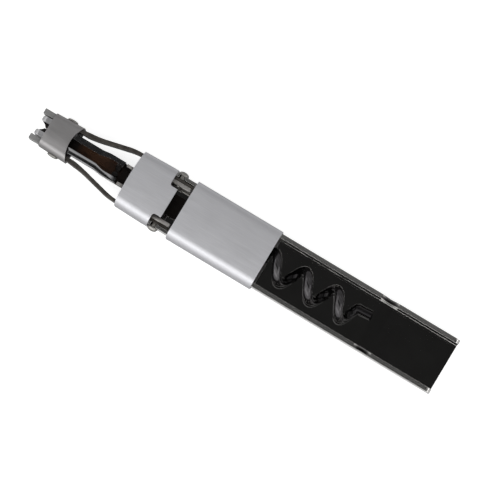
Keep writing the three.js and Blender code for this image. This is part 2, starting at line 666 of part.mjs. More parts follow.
const bodyRivet = rivet(BODY_RIVET, CHANNEL_HALF + 0.04, BACKING_OUTER_Y - BACKING_SHEET - 0.2);
const collarHalf = (COLLAR_FRONT_HALF + COLLAR_REAR_HALF) / 2;
const collarRivet = rivet(COLLAR_RIVET, collarHalf + 0.06, 2.33);

add("channel_body", channelBody(), POLISHED);
add("front_ferrule", frontFerrule(), SATIN);
add("tip_collar", tipCollar(), SATIN);
add("drawbar_guide", drawbarGuide(), BLACK_PLASTIC);
addPair("arm", armStrip(), DARK_SPRING);
addPair("backing_plate", backingPlate(), DARK_SPRING);
addPair("body_rivet", bodyRivet, RIVET_STEEL);
addPair("collar_rivet", collarRivet, RIVET_STEEL);
addPair("foot_pad", footPad(), PAD);
add("return_spring", returnSpring(), BLACK_STEEL);
add("slide_sleeve", slideSleeve(), SATIN);
add("slide_block", slideBlock(), BLACK_PLASTIC);
add("jaw_carrier", jawCarrier(), BRONZED);
add("carrier_pin", carrierPin(), RIVET_STEEL);
add("front_drive_pin", drivePin(DRIVE_PIN.front), RIVET_STEEL);
add("rear_drive_pin", drivePin(DRIVE_PIN.rear), RIVET_STEEL);
addPair("pivot_pin", pivotPin(), BLACK_STEEL);
addPair("jaw", jawStrip(), JAW_STEEL);
addPair("claw", clawWedge(), BLACK_STEEL);

export default part;
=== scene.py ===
"""Looks for the spring-loaded watch hand lifter: finishes, finer pieces, a studio and a camera.

Metres, in the part's own frame: X along the tool with its tips at -X, +Z up out of the open channel.
"""

import json
import math

import bmesh
import bpy
from mathutils import Matrix, Vector


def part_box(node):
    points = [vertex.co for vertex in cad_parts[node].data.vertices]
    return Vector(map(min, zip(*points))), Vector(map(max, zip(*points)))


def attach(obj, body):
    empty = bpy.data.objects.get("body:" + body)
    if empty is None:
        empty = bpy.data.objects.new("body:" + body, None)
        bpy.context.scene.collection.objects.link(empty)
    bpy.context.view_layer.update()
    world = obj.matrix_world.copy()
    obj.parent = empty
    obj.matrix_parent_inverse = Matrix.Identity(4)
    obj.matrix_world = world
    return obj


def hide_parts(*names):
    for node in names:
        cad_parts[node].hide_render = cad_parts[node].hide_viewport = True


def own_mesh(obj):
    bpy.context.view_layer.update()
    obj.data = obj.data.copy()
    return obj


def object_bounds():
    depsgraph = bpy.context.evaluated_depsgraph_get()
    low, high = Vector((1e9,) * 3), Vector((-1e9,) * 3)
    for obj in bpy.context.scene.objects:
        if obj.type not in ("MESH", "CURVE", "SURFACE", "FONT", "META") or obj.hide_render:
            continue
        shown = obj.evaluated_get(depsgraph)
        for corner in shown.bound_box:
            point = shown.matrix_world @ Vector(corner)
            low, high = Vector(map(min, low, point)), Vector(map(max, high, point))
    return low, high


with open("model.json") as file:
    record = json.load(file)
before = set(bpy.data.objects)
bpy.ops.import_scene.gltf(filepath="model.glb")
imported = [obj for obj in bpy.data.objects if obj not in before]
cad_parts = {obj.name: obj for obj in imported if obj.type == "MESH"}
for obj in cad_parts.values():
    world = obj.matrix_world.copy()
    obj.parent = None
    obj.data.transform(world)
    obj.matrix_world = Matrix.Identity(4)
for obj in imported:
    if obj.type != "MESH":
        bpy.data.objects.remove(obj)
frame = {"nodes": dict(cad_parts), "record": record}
cad_bounds = [list(map(float, corner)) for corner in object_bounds()]

MM = 0.001
NODES = frame["nodes"]
SCENE = bpy.context.scene

# ---------- sizes, most of them repeated from the CAD source ----------
SLEEVE_RADIUS = 2.0 * MM  # outer corner radius of the long sleeve and the ferrule
SLEEVE_SHEET = 0.32 * MM
FERRULE_SHEET = 0.3 * MM
FERRULE_MOUTH_HALF = 5.85 * MM
FERRULE_TAPER_X = -18.6 * MM  # the ferrule narrows ahead of this
FERRULE_BOW = 0.3 * MM  # its front edge is set back by this at the sides
FERRULE_SPARE = 0.3 * MM  # extra length ahead of that edge, cut off again
NOTCH_FILLET = 0.5 * MM
NOTCH_FRONT_X = -17.1 * MM
NOTCH_INNER_Y = {1: 2.65 * MM, -1: 3.5 * MM}  # by side, +Y and -Y
NOTCH_FLOOR_Z = 2.4 * MM
SLEEVE_CROWN = 0.12 * MM  # the flat faces bulge by this
CROWN_STEPS = 12
PIN_HOLE_GAP = 0.05 * MM
COLLAR_SHEET = 0.3 * MM
COLLAR_RADIUS = 1.5 * MM
COLLAR_CROWN = 0.18 * MM
COLLAR_FRONT_HALF = 3.55 * MM
COLLAR_REAR_HALF = 3.76 * MM
COLLAR_SCOOP = 1.05 * MM  # the upper face is cut back by this in the middle of its rear edge
CHANNEL_SHEET = 0.65 * MM
CHANNEL_RADIUS = 1.7 * MM
CHANNEL_INNER_RADIUS = 0.03 * MM  # sharper than the CAD's, as the photograph shows
CHANNEL_WIDEN = 0.18 * MM  # the outside grows by this on each side
CHANNEL_WIDEN_X = (-12.5 * MM, -9.0 * MM)  # between these
CHANNEL_WIDEN_Y = 4.2 * MM  # and only outside this
FLANGE_INNER_Y = 4.95 * MM
EDGE_LOOP = 0.5 * MM  # keeps the shading of the channel's inner corners narrow
DRIVE_SLOT_GAP = 0.1 * MM
RIVET_NOTCH_RADIUS = 0.56 * MM
REAR_CORNER_RADIUS = 0.9 * MM
RIB_X = 29.9 * MM
RIB_REACH = 1.9 * MM
RIB_RISE = 0.18 * MM  # the floor rises by this
RIB_FADE = 1.6 * MM  # and the rise dies out this far above the floor
RIB_PINCH = 0.1 * MM  # the flanges lean in by this
RIB_DIP = 0.08 * MM  # and dip by this
TRAVEL = 4.5 * MM  # of the slide joint
ARM_SHEET = 0.55 * MM
TOE_Y = 2.74 * MM  # the middle of the arm inside its foot
FOOT_POCKET_GAP = 0.05 * MM
BACKING_RADIUS = 0.7 * MM
ARM_ROWS = [  # x, y and thickness along the right arm
    (-44.4, 2.74, 0.55),
    (-42.95, 2.74, 0.55),
    (-39.4, 2.88, 0.55),
    (-37.5, 2.98, 0.62),
    (-36.2, 3.02, 0.85),
    (-35.2, 3.08, 0.96),
    (-34.0, 3.23, 0.9),
    (-32.4, 3.52, 0.82),
    (-30.5, 3.98, 0.8),
    (-28.5, 4.46, 0.8),
    (-26.8, 4.86, 0.78),
    (-25.2, 5.06, 0.68),
    (-23.6, 5.03, 0.6),
    (-22.0, 4.86, 0.55),
    (-20.4, 4.66, 0.55),
    (-19.0, 4.6, 0.55),
    (-16.5, 4.6, 0.55),
    (-12.85, 4.6, 0.55),
]
JAW_FRONT = (2.0 * MM, 0.9 * MM)  # y of the jaw's outer and inner face ahead of its step
JAW_REAR = (2.22 * MM, 1.35 * MM)  # and behind it
JAW_STEP = (-31.8 * MM, -29.5 * MM)  # x of the step's two ends
JAW_TIP_CORNER = 0.44 * MM
JAW_TIP_RADIUS = 1.1 * MM  # seen from the side
LUG_RADIUS = 0.6 * MM
LUG_HEIGHT = 0.5 * MM
PIVOT_HOLE_RADIUS = 0.34 * MM
CLAW_NOSE = 0.75 * MM  # length of the claw's slanting nose
CLAW_TIP_WIDTH = 0.12 * MM
CLAW_BOW = 0.08 * MM
CARRIER_SHEET = 0.5 * MM
CARRIER_FLANGE = 0.55 * MM
CARRIER_FLANGE_X = (-26.25 * MM, -17.5 * MM)
TONGUE_HALF = 1.75 * MM
TONGUE_CORNER = 0.5 * MM
TONGUE_REAR_X = -28.5 * MM
TONGUE_SHEEN_LENGTH = 14 * MM
FLANGE_HIGHLIGHT_Z = 4.3 * MM  # the carrier's flanges get a painted highlight, and a little more roughness, above this
FLANGE_HIGHLIGHT_X = -25.4 * MM  # and ahead of this
RIVET_BRIM = 0.16 * MM
RIVET_EDGE = 0.04 * MM
RIVET_TAIL = 0.18 * MM
RIVET_RING = 0.05 * MM  # depth of the fine ring in a rivet's dome
WIRE = 1.85 * MM
COIL_PITCH = 6.85 * MM
COIL_CLOSED_PITCH = 1.95 * MM
COIL_LAST_PITCH = 5.8 * MM
COIL_START_X = -3.025 * MM
COIL_CREST_X = 8.08 * MM  # a coil crosses the top of the spring here, at turn 0
COIL_OPEN_FRONT = -1.4  # the turns are closed before this one
COIL_OPEN_REAR = 2.0  # and a little tighter after this one
COIL_REAR_TURN = 2.6
COIL_STEPS = 56  # in each turn
PITCH_EASE = (-0.06, -0.03, 0, 0.03, 0.06)  # turns averaged to ease one pitch into the next
WIRE_SIDES = 20
LEG_STEPS = 8
LEG_RUN = [(0.35, 0.45), (0.7, 0.9), (1.0, 1.0)]  # shares of the leg's length and of its drop
LEG_SIDESTEP = 0.25 * MM

# ---------- studio levels ----------
WORLD_STRENGTH = 1.0
SIDE_LEVELS = [(0.0, 0.95), (0.25, 1.0), (0.45, 1.0), (0.56, 0.7), (0.7, 0.38), (1.0, 0.34)]  # -Y to +Y
OVERHEAD_LEVELS = [(0.0, 0.02), (0.12, 0.02), (0.18, 1.0), (1.0, 1.0)]  # from straight up outwards
OVERHEAD_STRETCH = 0.17  # how much X counts against Y, so that the dark strip runs along X
FLOOR_SIZE = 4.0
FLOOR_GLOW = 0.8  # to the camera
FLOOR_GLOW_IN_METAL = 0.1  # in reflections
SOFTBOXES = [  # name, azimuth and elevation in degrees, distance, width, height, radiance
    ("key_softbox", 0, 38, 0.7, 1.1, 0.3, 0.9),
    ("back_softbox", 180, 45, 0.9, 0.7, 0.1, 0.5),
    ("rear_strip", 90, 38, 0.8, 0.6, 0.16, 1.6),
    ("front_strip", -90, 38, 0.8, 0.6, 0.16, 1.0),
]

# ---------- camera ----------
CAMERA_AZIMUTH = math.radians(31.05)
CAMERA_ELEVATION = math.radians(85.0)
CAMERA_DISTANCE = 0.6
SENSOR = 0.036
VIEW_WIDTH = 0.0948  # what the picture's width takes in at the object
CENTRE_RIGHT = 1.83 * MM  # the picture's middle lies this far to the right of the object's
CENTRE_DOWN = 0.91 * MM  # and this far below it


def view_axes(azimuth, elevation):
    """Right, up and back of a camera that stands at this azimuth and elevation."""
    back = Vector(
        (
            math.sin(azimuth) * math.cos(elevation),
            -math.cos(azimuth) * math.cos(elevation),
            math.sin(elevation),
        )
    )
    right = Vector((math.cos(azimuth), math.sin(azimuth), 0.0))
    return right, back.cross(right), back


def place(obj, origin, right, up, back):
    """Puts obj at origin with its own X, Y and Z along right, up and back."""
    matrix = Matrix((right, up, back)).transposed().to_4x4()
    matrix.translation = origin
    obj.matrix_world = matrix


def make_camera():
    low, high = (Vector(corner) for corner in cad_bounds)
    right, up, back = view_axes(CAMERA_AZIMUTH, CAMERA_ELEVATION)
    target = (low + high) / 2 + CENTRE_RIGHT * right - CENTRE_DOWN * up
    data = bpy.data.cameras.new("camera")
    data.sensor_width = SENSOR * 1000
    data.lens = SENSOR * 1000 * CAMERA_DISTANCE / VIEW_WIDTH
    data.clip_start = 0.01
    data.clip_end = 20
    camera = bpy.data.objects.new("camera", data)
    SCENE.collection.objects.link(camera)
    place(camera, target + CAMERA_DISTANCE * back, right, up, back)
    SCENE.camera = camera


# ---------- material helpers ----------
class Nodes:
    """A material's node tree, with short calls for the nodes used here."""

    def __init__(self, name, colour, metallic, roughness):
        self.material = bpy.data.materials.new(name)
        self.material.use_nodes = True
        self.tree = self.material.node_tree
        self.shader = self.tree.nodes["Principled BSDF"]
        self.set("Base Color", (*colour, 1.0))
        self.set("Metallic", metallic)
        self.set("Roughness", roughness)
        self.coordinates = self.new("ShaderNodeTexCoord").outputs["Object"]

    def new(self, kind, **settings):
        node = self.tree.nodes.new(kind)
        for key, value in settings.items():
            setattr(node, key, value)
        return node

    def set(self, socket, value):
        self.shader.inputs[socket].default_value = value

    def link(self, source, target):
        self.tree.links.new(source, target)

    def noise(self, scale, stretch=(1, 1, 1), detail=4.0, roughness=0.55, shift=(0, 0, 0)):
        mapping = self.new("ShaderNodeMapping")
        mapping.inputs["Scale"].default_value = stretch
        mapping.inputs["Location"].default_value = shift
        noise = self.new("ShaderNodeTexNoise")
        noise.inputs["Scale"].default_value = scale
        noise.inputs["Detail"].default_value = detail
        noise.inputs["Roughness"].default_value = roughness
        self.link(self.coordinates, mapping.inputs["Vector"])
        self.link(mapping.outputs["Vector"], noise.inputs["Vector"])
        return noise.outputs["Fac"]

    def remap(self, value, low, high, to_low, to_high):
        node = self.new("ShaderNodeMapRange")
        limits = {"From Min": low, "From Max": high, "To Min": to_low, "To Max": to_high}
        for socket, number in limits.items():
            node.inputs[socket].default_value = number
        self.link(value, node.inputs["Value"])
        return node.outputs["Result"]

    def ramp(self, value, stops):
        node = self.new("ShaderNodeValToRGB")
        elements = node.color_ramp.elements
        while len(elements) < len(stops):
            elements.new(0.5)
        for element, (position, colour) in zip(elements, stops):
            element.position = position
            element.color = (*colour, 1.0)
        self.link(value, node.inputs["Fac"])
        return node.outputs["Color"]

    def mix(self, factor, first, second, blend="MIX"):
        node = self.new("ShaderNodeMix", data_type="RGBA", blend_type=blend)
        for name, source in (("Factor", factor), ("A", first), ("B", second)):
            if isinstance(source, bpy.types.NodeSocket):
                self.link(source, node.inputs[name])
            elif isinstance(source, tuple):
                node.inputs[name].default_value = (*source, 1.0)
            else:
                node.inputs[name].default_value = source
        return node.outputs["Result"]

    def axes(self):
        """The X, Y and Z of the object's own frame."""
        node = self.new("ShaderNodeSeparateXYZ")
        self.link(self.coordinates, node.inputs["Vector"])
        return node.outputs

    def math(self, operation, first, second):
        node = self.new("ShaderNodeMath", operation=operation)
        self.link(first, node.inputs[0])
        self.link(second, node.inputs[1])
        return node.outputs["Value"]

    def add(self, first, second):
        return self.math("ADD", first, second)

    def multiply(self, first, second):
        return self.math("MULTIPLY", first, second)

    def bump(self, height, distance, strength=1.0):
        node = self.new("ShaderNodeBump")
        node.inputs["Strength"].default_value = strength
        node.inputs["Distance"].default_value = distance
        self.link(height, node.inputs["Height"])
        self.link(node.outputs["Normal"], self.shader.inputs["Normal"])

    def colour(self, source):
        self.link(source, self.shader.inputs["Base Color"])

    def roughness(self, source):
        self.link(source, self.shader.inputs["Roughness"])


def shade(colour, factor):
    return tuple(min(1.0, channel * factor) for channel in colour)


# ---------- finishes ----------
def brushed_metal(name, colour, roughness, grain=1.0, tint=1.0):
    """Satin metal, brushed along the tool: long fine streaks and a few smudges."""
    m = Nodes(name, colour, 1.0, roughness)
    m.set("Specular Tint", (0.5, 0.5, 0.5, 1.0))
    streaks = m.noise(1, (260, 6500, 6500), 5.0, 0.65)
    broad = m.noise(1, (90, 1500, 1500), 3.0, 0.5, (3, 7, 1))
    smudge = m.noise(190, (1, 1, 1), 3.0, 0.5, (5, 2, 8))
    dark_streak = shade(colour, 1 - 0.09 * tint)
    light_streak = shade(colour, 1 + 0.07 * tint)
    light = m.mix(m.remap(streaks, 0.3, 0.7, 0, 1), dark_streak, light_streak)
    darkened = m.mix(m.remap(broad, 0.35, 0.65, 0, 0.35), light, shade(colour, 0.93))
    m.colour(m.mix(m.remap(smudge, 0.52, 0.75, 0, 0.3), darkened, shade(colour, 1.06)))
    m.roughness(m.remap(streaks, 0.25, 0.75, roughness - 0.05, roughness + 0.07))
    m.bump(streaks, 0.004 * MM * grain)
    return m.material


def channel_metal(name, colour):
    """Mirror plate, with duller sheared tops on the flanges, and painted shade on the flange tops where
    the rib pinches them, in place of the dark reflection there.
    """
    m = Nodes(name, colour, 1.0, 0.06)
    cloud = m.noise(260, (1, 1, 1), 4.0, 0.55)
    hairlines = m.noise(1, (700, 9000, 9000), 2.0, 0.4, (1, 4, 2))
    ripple = m.noise(40, (1, 1, 1), 1.0, 0.4, (9, 3, 4))
    axes = m.axes()
    rib_rear = m.remap(axes["X"], RIB_X, RIB_X + RIB_REACH, 1, 0)
    rib_front = m.remap(axes["X"], RIB_X - RIB_REACH, RIB_X, 0, 1)
    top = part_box("channel_body")[1].z
    # painted shade: the flange tops are darkened across the rib, standing in for the dark reflection
    # where the rib pinches them
    rib_painted_shade = m.remap(m.multiply(rib_front, rib_rear), 0.1, 0.5, 0, 0.9)
    on_flanges = m.remap(axes["Z"], top - 0.6 * MM, top - 0.2 * MM, 0.12, 1)
    clouded = m.mix(m.remap(cloud, 0.35, 0.7, 0, 1), colour, shade(colour, 0.86))
    m.colour(m.mix(m.multiply(rib_painted_shade, on_flanges), clouded, shade(colour, 0.15)))
    sheared = m.remap(axes["Z"], top - 0.12 * MM, top - 0.04 * MM, 0, 0.15)
    dull = m.remap(cloud, 0.3, 0.75, 0.015, 0.035)
    scratched = m.remap(hairlines, 0.66, 0.74, 0, 0.04)
    m.roughness(m.add(m.add(dull, scratched), sheared))
    m.bump(ripple, 0.006 * MM, 0.4)
    return m.material


def jaw_metal(name, colour):
    """Plated steel: smooth, with painted shade from the collar's front edge back, rubbed satin at the
    tips, and painted near-black shade on the low rear with its lugs.
    """
    m = Nodes(name, colour, 1.0, 0.2)
    cloud = m.noise(700, (1, 1, 1), 4.0, 0.6)
    grain = m.noise(1, (600, 6000, 6000), 3.0, 0.6, (2, 5, 1))
    axes = m.axes()
    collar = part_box("tip_collar")[0].x
    clouded = m.mix(m.remap(cloud, 0.35, 0.7, 0, 1), colour, shade(colour, 0.86))
    # painted shade: the jaw darkens from the collar's front edge back, where the collar covers it
    behind = m.remap(axes["X"], collar, collar + 3 * MM, 0, 1)
    darkened = m.mix(behind, clouded, shade(colour, 0.8))
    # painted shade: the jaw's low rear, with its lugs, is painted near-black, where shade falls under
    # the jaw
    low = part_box("right_jaw")[0].z
    lug_low = m.remap(axes["Z"], low + LUG_HEIGHT, low + LUG_HEIGHT + 0.12 * MM, 1, 0)
    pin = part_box("right_pivot_pin")[0].x
    lug_rear = m.remap(axes["X"], pin - MM, pin, 0, 1)
    m.colour(m.mix(m.multiply(lug_low, lug_rear), darkened, (0.02, 0.018, 0.017)))
    front_zone = m.remap(axes["X"], collar, collar + 1.5 * MM, 0.26, 0)
    m.roughness(m.add(m.remap(grain, 0.3, 0.7, 0.09, 0.12), front_zone))
    m.bump(grain, 0.0004 * MM)
    return m.material


def spring_steel(name, colour, roughness):
    """Black oiled wire: soft blotches, and painted shade on the lower strands towards the channel's
    floor.
    """
    m = Nodes(name, colour, 0.88, roughness)
    m.set("Specular Tint", (0.5, 0.5, 0.5, 1.0))
    blotch = m.noise(900, (1, 1, 1), 4.0, 0.55)
    axes = m.axes()
    low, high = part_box("return_spring")
    middle = (low.z + high.z) / 2
    # painted shade: the wire darkens towards the channel's floor, where shade falls deep in the channel
    low_strand_shade = m.remap(axes["Z"], middle - 0.3 * MM, middle + 1.8 * MM, 1, 0)
    blotched = m.mix(m.remap(blotch, 0.35, 0.7, 0, 1), shade(colour, 0.85), shade(colour, 1.15))
    m.colour(m.mix(low_strand_shade, blotched, shade(colour, 0.22)))
    m.roughness(m.remap(blotch, 0.3, 0.7, roughness - 0.04, roughness + 0.05))
    m.bump(blotch, 0.004 * MM)
    return m.material


def dark_steel(name, colour, roughness, scale=1.0, edge_tint=1.0):
    """Tempered spring steel: blotchy oxide with lighter rubbed patches and fine rolling lines."""
    m = Nodes(name, colour, 1.0, roughness)
    m.set("Specular Tint", (edge_tint, edge_tint, edge_tint, 1.0))
    blotch = m.noise(750 * scale, (1, 1, 1), 5.0, 0.6)
    rolled = m.noise(1, (500, 5200, 5200), 4.0, 0.6, (2, 6, 3))
    base = m.mix(m.remap(blotch, 0.35, 0.7, 0, 1), shade(colour, 0.72), shade(colour, 1.25))
    m.colour(m.mix(m.remap(rolled, 0.55, 0.8, 0, 0.5), base, shade(colour, 1.9)))
    m.roughness(m.remap(blotch, 0.3, 0.7, roughness - 0.08, roughness + 0.12))
    m.bump(rolled, 0.008 * MM)
    return m.material


def tongue_painted_sheen(name):
    """The tongue: black, with a painted brown sheen along the middle of its length, mottled and a
    little glossy, and a painted highlight on the carrier flanges' front tops.
    """
    m = Nodes(name, (0.03, 0.026, 0.024), 1.0, 0.3)
    axes = m.axes()
    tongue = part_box("jaw_carrier")[0].x
    along = m.remap(axes["X"], tongue, tongue + TONGUE_SHEEN_LENGTH, 0, 1)
    black = (0.022, 0.019, 0.018)
    # painted reflection: a brown sheen along the middle of the tongue, fading to black at both ends
    brown_sheen = m.ramp(
        along,
        [
            (0.0, black),
            (0.14, black),
            (0.24, (0.105, 0.052, 0.03)),
            (0.5, (0.12, 0.062, 0.038)),
            (0.74, (0.06, 0.034, 0.024)),
            (0.86, black),
        ],
    )
    mottle = m.noise(1, (500, 1500, 1500), 5.0, 0.65)
    mottled_sheen = m.mix(m.remap(mottle, 0.38, 0.68, 0, 0.8), brown_sheen, (0.02, 0.016, 0.014))
    # painted highlight: the flanges' front tops are painted light grey and made a little rougher
    raised = m.remap(axes["Z"], FLANGE_HIGHLIGHT_Z - 0.5 * MM, FLANGE_HIGHLIGHT_Z, 0, 1)
    front_zone = m.multiply(raised, m.remap(axes["X"], FLANGE_HIGHLIGHT_X, FLANGE_HIGHLIGHT_X + 0.8 * MM, 1, 0))
    m.colour(m.mix(front_zone, mottled_sheen, (0.5, 0.48, 0.46)))
    m.roughness(m.add(m.remap(mottle, 0.3, 0.7, 0.22, 0.42), m.remap(front_zone, 0, 1, 0, 0.12)))
    m.bump(mottle, 0.02 * MM, 0.6)
    return m.material


def matt_plastic(name, colour, roughness, fleck=0.08):
    """Moulded plastic: very fine grain, slight cloudiness."""
    m = Nodes(name, colour, 0.0, roughness)
    grain = m.noise(4200, (1, 1, 1), 3.0, 0.6)
    cloud = m.noise(420, (1, 1, 1), 3.0, 0.5, (4, 1, 7))
    base = m.mix(m.remap(cloud, 0.35, 0.65, 0, 1), shade(colour, 1 - fleck), shade(colour, 1 + fleck))
    m.colour(base)
    m.roughness(m.remap(grain, 0.3, 0.7, roughness - 0.07, roughness + 0.08))
    m.bump(grain, 0.006 * MM)
    return m.material


FINISHES = {
    "satin_sleeve": brushed_metal("satin_sleeve_finish", (0.74, 0.74, 0.765), 0.46, 0.6, 0.7),
    "satin_collar": brushed_metal("satin_collar_finish", (0.4, 0.39, 0.39), 0.41),
    "plain_steel": brushed_metal("plain_steel_finish", (0.52, 0.5, 0.48), 0.42),
    "polished_channel": channel_metal("polished_channel_finish", (0.76, 0.75, 0.73)),
    "jaw_steel": jaw_metal("jaw_steel_finish", (0.6, 0.6, 0.61)),
    "dark_spring_steel": dark_steel("dark_spring_finish", (0.105, 0.097, 0.088), 0.42),
    # the brown of this slot is a painted sheen
    "temper_tint_steel": tongue_painted_sheen("tongue_sheen_finish"),
    "black_hard_steel": dark_steel("black_hard_finish", (0.03, 0.028, 0.027), 0.34, 1.6, 0.4),
    "spring_wire": spring_steel("spring_wire_finish", (0.085, 0.082, 0.085), 0.15),
    "rivet_steel": dark_steel("rivet_finish", (0.4, 0.39, 0.37), 0.3, 1.4),
    "foot_grey": matt_plastic("foot_finish", (0.25, 0.25, 0.247), 0.48),
    "black_block": matt_plastic("black_block_finish", (0.012, 0.012, 0.013), 0.5),
}
SLOT_OF = {part["node"]: part["material_slot"] for part in frame["record"]["subparts"]}
BODIES = frame["record"]["behaviour"]["bodies"]
BODY_OF = {node: body for body, nodes in BODIES.items() for node in nodes}


def dress_cad_node(node):
    """Gives a CAD node that stays its procedural finish."""
    obj = NODES[node]
    obj.data.materials.clear()
    obj.data.materials.append(FINISHES[SLOT_OF[node]])


for node_name in NODES:
    dress_cad_node(node_name)


# ---------- mesh helpers ----------
def link_mesh(name, mesh):
    obj = bpy.data.objects.new(name, mesh)
    SCENE.collection.objects.link(obj)
    return obj


def loft(name, rings, closed=False):
    """A skin over rings of points, capped at both ends, or joined last to first if closed."""
    bm = bmesh.new()
    loops = [[bm.verts.new(point) for point in ring] for ring in rings]
    count = len(loops[0])
    pairs = list(zip(loops, loops[1:]))
    if closed:
        pairs.append((loops[-1], loops[0]))
    for near, far in pairs:
        for i in range(count):
            j = (i + 1) % count
            bm.faces.new((near[i], near[j], far[j], far[i]))
    if not closed:
        bm.faces.new(loops[0])
        bm.faces.new(loops[-1])
    bmesh.ops.recalc_face_normals(bm, faces=bm.faces)
    mesh = bpy.data.meshes.new(name)
    bm.to_mesh(mesh)
    bm.free()
    return link_mesh(name, mesh)


def plan_prism(name, outline, z0, z1):
    """A plan outline of (x, y) points with its thickness from z0 to z1."""
    return loft(name, [[(x, y, z) for x, y in outline] for z in (z0, z1)])


def side_prism(name, outline, y0, y1):
    """A side outline of (x, z) points with its thickness from y0 to y1."""
    return loft(name, [[(x, y, z) for x, z in outline] for y in (y0, y1)])


def block(name, low, high):
    (x0, y0, z0), (x1, y1, z1) = low, high
    return plan_prism(name, [(x0, y0), (x1, y0), (x1, y1), (x0, y1)], z0, z1)


def smooth(t):
    """Eases from 0 to 1."""
    t = min(1.0, max(0.0, t))
    return t * t * (3 - 2 * t)


def arc(cx, cy, radius, start_deg, end_deg, steps):
    """Points of an arc in its own plane, both ends included."""
    points = []
    for i in range(steps + 1):
        angle = math.radians(start_deg + (end_deg - start_deg) * i / steps)
        points.append((cx + radius * math.cos(angle), cy + radius * math.sin(angle)))
    return points


def circle(cx, cy, radius, count):
    """Points of a whole circle, the first not repeated."""
    return arc(cx, cy, radius, 0, 360 - 360 / count, count - 1)


def rounded_box(y0, y1, z0, z1, radius, steps=10):
    """A rectangle with round corners, anticlockwise from its lower right corner."""
    corners = [(y1, z0, -90), (y1, z1, 0), (y0, z1, 90), (y0, z0, 180)]
    points = []
    for y, z, start in corners:
        cy = y - radius if y == y1 else y + radius
        cz = z - radius if z == z1 else z + radius
        points += arc(cy, cz, radius, start, start + 90, steps)
    return points


def apply_modifiers(obj):
    bpy.context.view_layer.update()
    depsgraph = bpy.context.evaluated_depsgraph_get()
    mesh = bpy.data.meshes.new_from_object(obj.evaluated_get(depsgraph))
    obj.modifiers.clear()
    obj.data = mesh


def combine(obj, operation, others):
    """Joins the others to obj, or cuts them from it, and removes them."""
    for other in others:
        modifier = obj.modifiers.new("combine", "BOOLEAN")
        modifier.operation = operation
        modifier.solver = "EXACT"
        modifier.object = other
        apply_modifiers(obj)
        bpy.data.objects.remove(other)


def soften(obj, width, segments=3, angle_deg=32):
    """Rounds the sharp edges and shades the rest smooth."""
    modifier = obj.modifiers.new("edge", "BEVEL")
    modifier.width = width
    modifier.segments = segments
    modifier.limit_method = "ANGLE"
    modifier.angle_limit = math.radians(angle_deg)
    modifier.use_clamp_overlap = True
    modifier.harden_normals = False
    apply_modifiers(obj)
    shade_smooth(obj)
    normals = obj.modifiers.new("weighted", "WEIGHTED_NORMAL")
    normals.keep_sharp = True
    normals.weight = 80
    apply_modifiers(obj)
    return obj


def shade_smooth(obj, angle_deg=40):
    mesh = obj.data
    mesh.polygons.foreach_set("use_smooth", [True] * len(mesh.polygons))
    mesh.set_sharp_from_angle(angle=math.radians(angle_deg))


def mirrored(obj, name):
    """A copy on the other side of the XZ plane."""
    mesh = obj.data.copy()
    mesh.transform(Matrix.Diagonal((1, -1, 1, 1)))
    mesh.flip_normals()
    return link_mesh(name, mesh)


def stand_in(obj, node):
    """obj shows in place of a CAD node: same body, same slot, same finish."""
    obj.name = f"{node}_fine"
    obj.data.name = obj.name
    obj.data.materials.clear()
    obj.data.materials.append(FINISHES[SLOT_OF[node]])
    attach(obj, BODY_OF[node])
    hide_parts(node)


def stand_in_pair(obj, node):
    """The right-hand piece and its mirror image."""
    left = mirrored(obj, "mirror")
    stand_in(obj, f"right_{node}")
    stand_in(left, f"left_{node}")


# ---------- sleeves ----------
def sleeve_section(half, z0, z1, radius, inset, crown):
    """(y, z) points of a round-cornered box section, set in by inset, bulging above and below."""
    flat_low = z0 + crown + inset
    flat_high = z1 - crown - inset
    corners = rounded_box(inset - half, half - inset, flat_low, flat_high, radius - inset)
    points = []
    for (y, z), (next_y, _) in zip(corners, corners[1:] + corners[:1]):
        points.append((y, z))
        if abs(next_y - y) > half / 2:
            for k in range(1, CROWN_STEPS):
                t = k / CROWN_STEPS
                bulge = 4 * crown * t * (1 - t)
                points.append((y + (next_y - y) * t, z + math.copysign(bulge, z - (z0 + z1) / 2)))
    return points


def sheet_tube(name, stations, z0, z1, radius, sheet, crown):
    """A sheet-metal tube along X with round corners. stations are (x, outer half width) pairs."""
    rings = []
    for inset, row in ((0, stations), (sheet, stations[::-1])):
        for x, half in row:
            rings.append([(x, y, z) for y, z in sleeve_section(half, z0, z1, radius, inset, crown)])
    return loft(name, rings, closed=True)


def make_slide_sleeve():
    low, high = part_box("slide_sleeve")
    ends = [(low.x, high.y), (high.x, high.y)]
    sleeve = sheet_tube("sleeve", ends, low.z, high.z, SLEEVE_RADIUS, SLEEVE_SHEET, SLEEVE_CROWN)
    pins = [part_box(node) for node in ("front_drive_pin", "rear_drive_pin")]
    holes = []
    for pin_low, pin_high in pins:
        middle = (pin_low + pin_high) / 2
        hole = circle(middle.x, middle.y, (pin_high.x - pin_low.x) / 2 + PIN_HOLE_GAP, 48)
        holes.append(plan_prism("hole", hole, -MM, MM))
    combine(sleeve, "DIFFERENCE", holes)
    stand_in(soften(sleeve, 0.09 * MM), "slide_sleeve")


